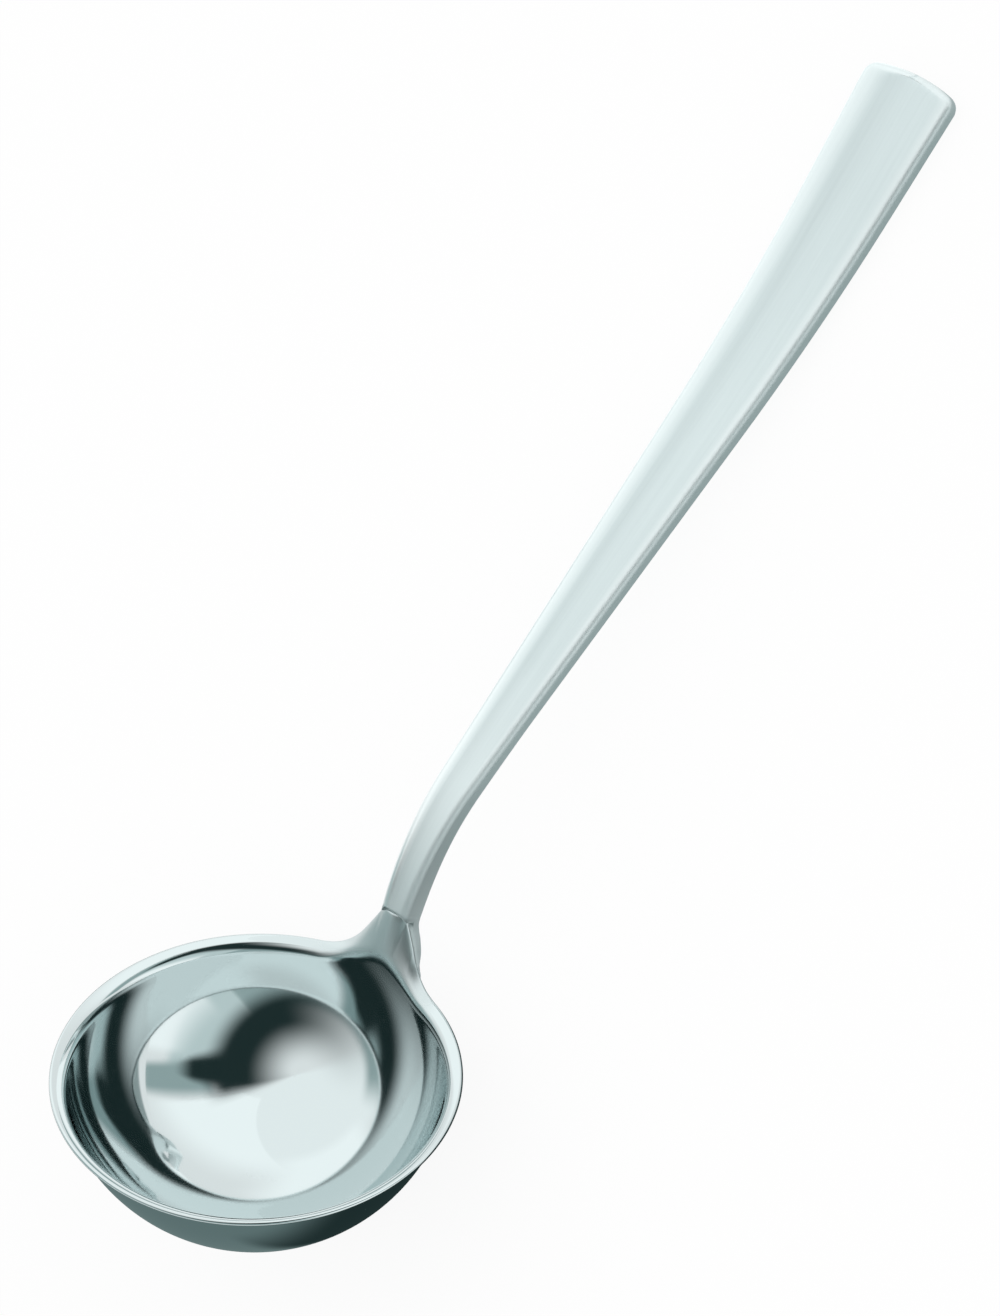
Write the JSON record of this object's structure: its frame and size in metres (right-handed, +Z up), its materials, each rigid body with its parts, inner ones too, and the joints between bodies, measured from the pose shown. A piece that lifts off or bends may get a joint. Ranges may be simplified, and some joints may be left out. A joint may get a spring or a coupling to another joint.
{
  "type": "sauce ladle",
  "caption": "Steel sauce ladle with a deep round bowl, an outturned rim, a tongue that meets a slim neck, and a long flat handle that widens towards its end.",
  "frame": {"origin": "middle of the ladle's length and width, on the table that the bowl's underside and the flat end of the handle rest on", "axes": "+Y from the bowl towards the end of the handle, +Z up from the table, +X across the handle, with X = 0 the plane of symmetry"},
  "size_m": [0.0618, 0.2098, 0.0437],
  "materials": {
    "polished_steel": "stainless steel with a mirror polish inside and out",
    "satin_steel": "stainless steel with a fine satin finish along the bar",
    "braze": "cleaned silver brazing metal"
  },
  "bodies": {
    "root": {"bowl": "polished_steel", "handle": "satin_steel", "braze_bead": "braze"}
  },
  "joints": []
}
